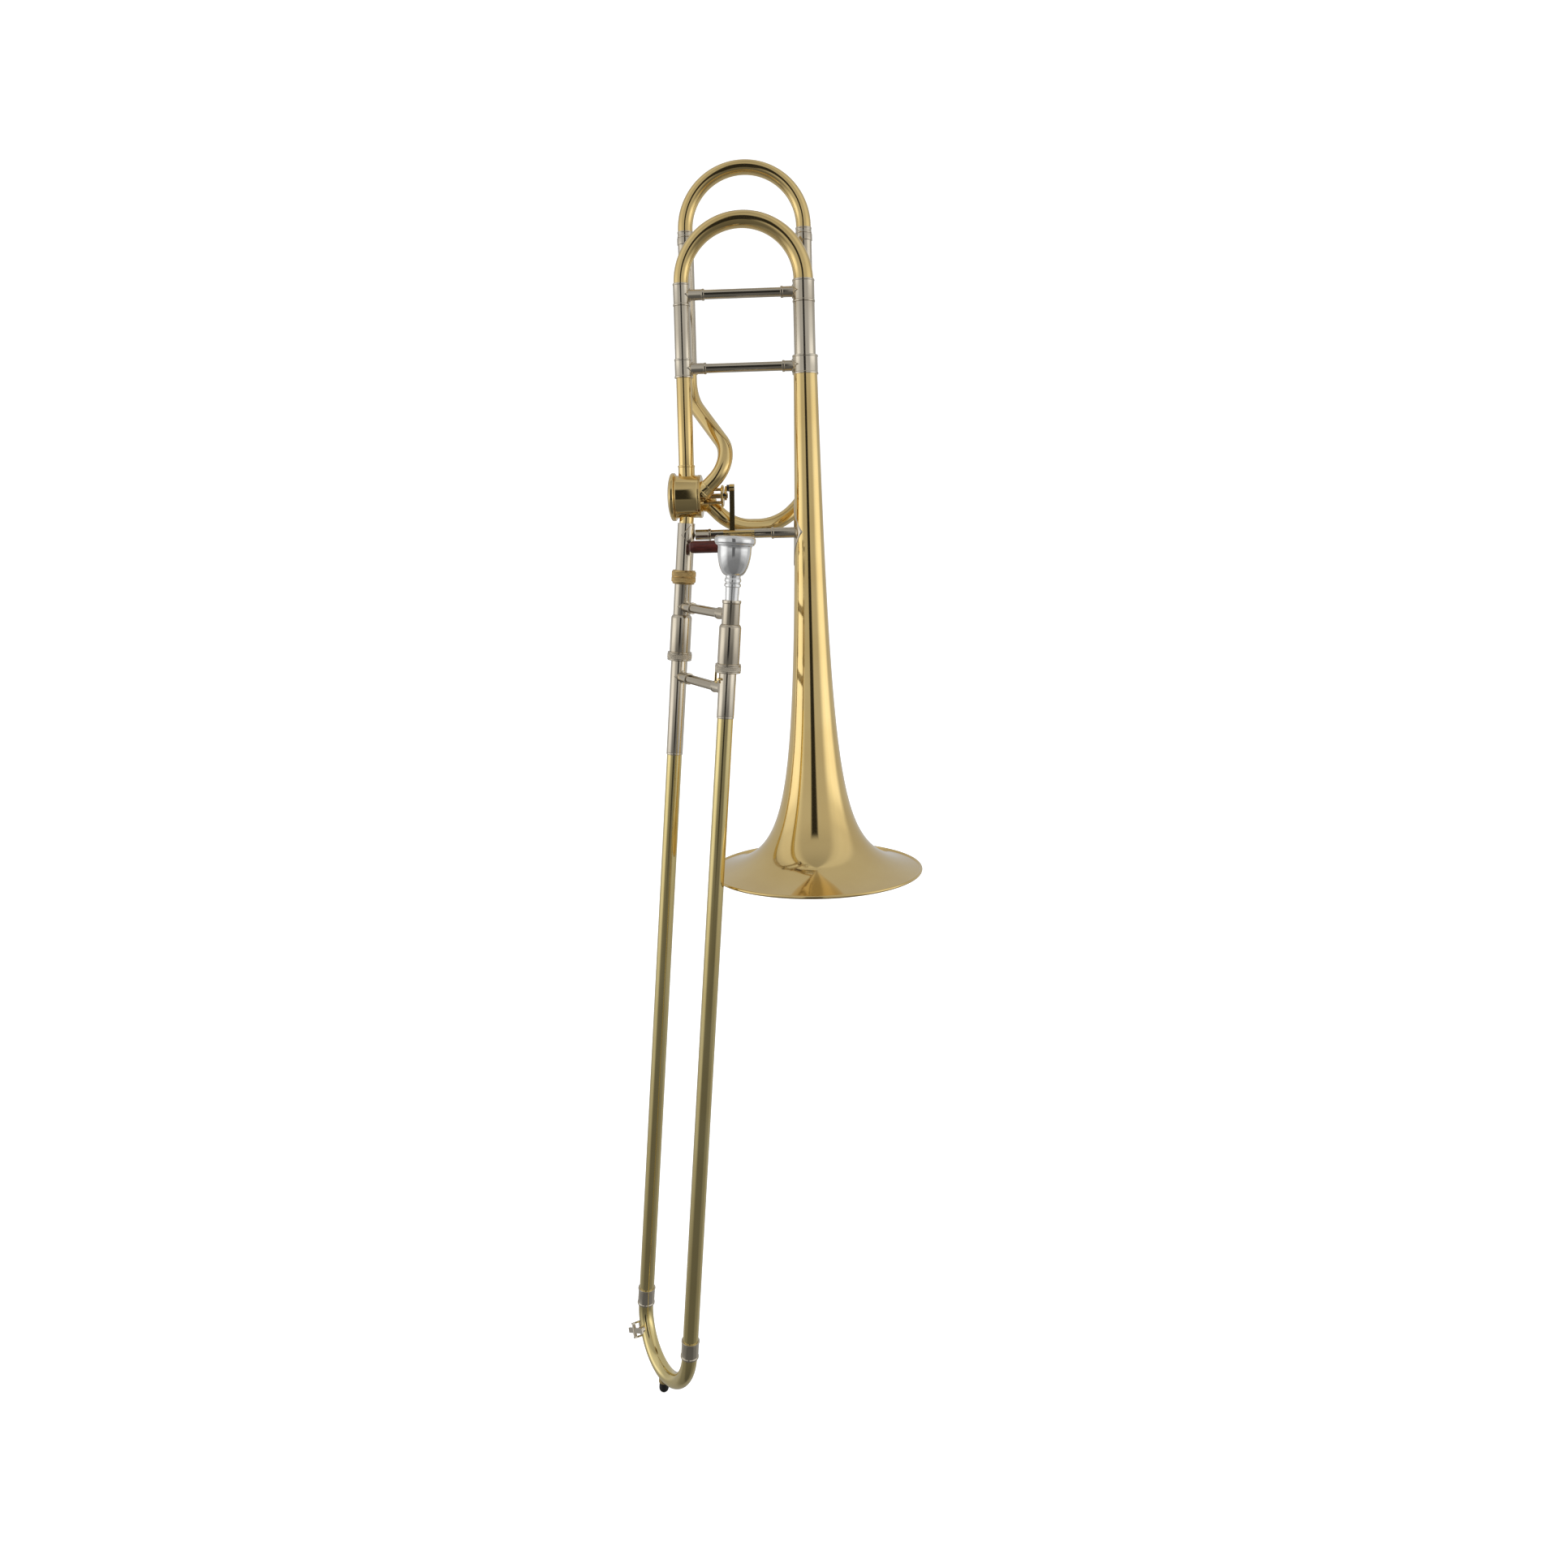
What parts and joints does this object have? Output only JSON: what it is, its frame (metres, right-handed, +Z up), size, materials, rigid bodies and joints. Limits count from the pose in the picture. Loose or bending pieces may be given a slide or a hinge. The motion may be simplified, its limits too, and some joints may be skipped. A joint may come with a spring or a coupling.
{
  "type": "tenor trombone",
  "caption": "Tenor trombone with a thumb-operated rotary valve loop, flared bell, tuning slide, locking hand slide, water key and mouthpiece.",
  "frame": {"origin": "where the axis of the bell section's neck meets the axis of the hand slide's receiver, which is where the left hand holds it", "axes": "+Z up along the bell's axis with the hand slide hanging down, +X from the neck to the bell, +Y back to the valve loop"},
  "size_m": [0.3234, 0.216, 1.2755],
  "materials": {
    "lacquered_brass": "polished, clear lacquer",
    "machined_brass": "machined",
    "knurled_brass": "knurled, lacquered",
    "nickel_silver": "polished",
    "chrome_plate": "polished",
    "silver_plate": "polished",
    "dark_steel": "satin",
    "rubber": "matte",
    "thumb_wood": "satin",
    "cork": "matte"
  },
  "bodies": {
    "bell_section": {"bell": "lacquered_brass", "bell_rim": "lacquered_brass", "neck_ferrule": "nickel_silver", "bell_ferrule": "nickel_silver", "tuning_outer_tube_neck": "nickel_silver", "tuning_outer_tube_bell": "nickel_silver", "neck_pipe": "lacquered_brass", "valve_casing": "lacquered_brass", "valve_cap": "lacquered_brass", "neck_ring": "lacquered_brass", "receiver_knuckle": "lacquered_brass", "valve_back_plate": "lacquered_brass", "stop_plate": "lacquered_brass", "rotor_stops": "rubber", "valve_loop_upper_tube": "lacquered_brass", "valve_loop_lower_tube": "lacquered_brass", "valve_loop_outer_tubes": "nickel_silver", "valve_loop_stays": "lacquered_brass", "upper_bell_brace": "nickel_silver", "lower_bell_brace": "nickel_silver", "lever_posts": "lacquered_brass", "lever_hinge_rod": "lacquered_brass", "slide_receiver": "nickel_silver"},
    "tuning_slide": {"tuning_bow": "lacquered_brass", "tuning_bow_ferrule_neck": "nickel_silver", "tuning_bow_ferrule_bell": "nickel_silver", "tuning_leg_neck": "nickel_silver", "tuning_leg_bell": "nickel_silver", "tuning_slide_brace": "nickel_silver"},
    "valve_loop_slide": {"valve_loop_legs": "nickel_silver", "valve_loop_bow": "lacquered_brass", "valve_loop_ferrules": "lacquered_brass"},
    "rotor": {"valve_rotor": "machined_brass", "stop_arm": "lacquered_brass"},
    "lever": {"thumb_lever": "lacquered_brass", "thumb_bar": "thumb_wood"},
    "link": {"link_rod": "dark_steel"},
    "nut": {"receiver_nut": "knurled_brass"},
    "inner_slide": {"slide_tenon": "nickel_silver", "inner_tube_receiver_side": "chrome_plate", "inner_tube_mouthpiece_side": "chrome_plate", "cork_barrels": "nickel_silver", "barrel_corks": "cork", "barrel_end_ring": "nickel_silver", "mouthpiece_receiver": "nickel_silver", "inner_slide_brace": "nickel_silver"},
    "slide_lock": {"slide_lock_ring": "nickel_silver"},
    "outer_slide": {"outer_slide_tubes": "lacquered_brass", "outer_slide_sleeves": "nickel_silver", "outer_slide_brace": "nickel_silver", "slide_lock_stud": "lacquered_brass", "slide_crook": "lacquered_brass", "crook_ferrules": "nickel_silver", "bumper_seat": "lacquered_brass", "slide_bumper": "rubber", "water_key_seat": "nickel_silver", "water_key_pin": "nickel_silver"},
    "water_key": {"water_key_lever": "nickel_silver", "water_key_cork": "cork"},
    "mouthpiece": {"mouthpiece": "silver_plate"}
  },
  "joints": [
    {"name": "tuning_slide_pull", "type": "slide", "parent": "bell_section", "child": "tuning_slide", "axis": [0, 0, 1], "range_m": [0, 0.045]},
    {"name": "valve_loop_pull", "type": "slide", "parent": "bell_section", "child": "valve_loop_slide", "axis": [0, 0, 1], "range_m": [0, 0.08]},
    {"name": "rotor_turn", "type": "hinge", "parent": "bell_section", "child": "rotor", "pos_m": [0, 0, 0.0064], "axis": [1, 0, 0], "range_deg": [0, 90], "stiffness_Nm_per_rad": 0.03, "springref_deg": -28.65},
    {"name": "thumb_lever_press", "type": "hinge", "parent": "bell_section", "child": "lever", "pos_m": [0.05, -0.0097, -0.032], "axis": [1, 0, 0], "range_deg": [0, 20]},
    {"name": "link_swing", "type": "hinge", "parent": "lever", "child": "link", "pos_m": [0.04, -0.00181, 0.01418], "axis": [1, 0, 0], "range_deg": [-20, 0]},
    {"name": "nut_turn", "type": "hinge", "parent": "bell_section", "child": "nut", "pos_m": [-0.00631, 0.00149, -0.07402], "axis": [0.085, -0.02, 0.9962], "continuous": true},
    {"name": "slide_angle", "type": "hinge", "parent": "bell_section", "child": "inner_slide", "pos_m": [0, 0, 0], "axis": [-0.085, 0.02, -0.9962], "range_deg": [0, 40]},
    {"name": "hand_slide", "type": "slide", "parent": "inner_slide", "child": "outer_slide", "axis": [-0.085, 0.02, -0.9962], "range_m": [0, 0.6]},
    {"name": "slide_lock_turn", "type": "hinge", "parent": "inner_slide", "child": "slide_lock", "pos_m": [0.04385, -0.07512, -0.16064], "axis": [0.085, -0.02, 0.9962], "range_deg": [0, 22]},
    {"name": "water_key_press", "type": "hinge", "parent": "outer_slide", "child": "water_key", "pos_m": [-0.08507, 0.0104, -0.88012], "axis": [0.2202, -0.3858, -0.8959], "range_deg": [0, 15], "stiffness_Nm_per_rad": 0.02, "springref_deg": -28.65},
    {"name": "mouthpiece_pull", "type": "slide", "parent": "inner_slide", "child": "mouthpiece", "axis": [0.085, -0.02, 0.9962], "range_m": [0, 0.03]}
  ],
  "couplings": [
    {"joint": "thumb_lever_press", "follows": "rotor_turn", "ratio": 0.22222},
    {"joint": "link_swing", "follows": "rotor_turn", "ratio": -0.22222}
  ]
}
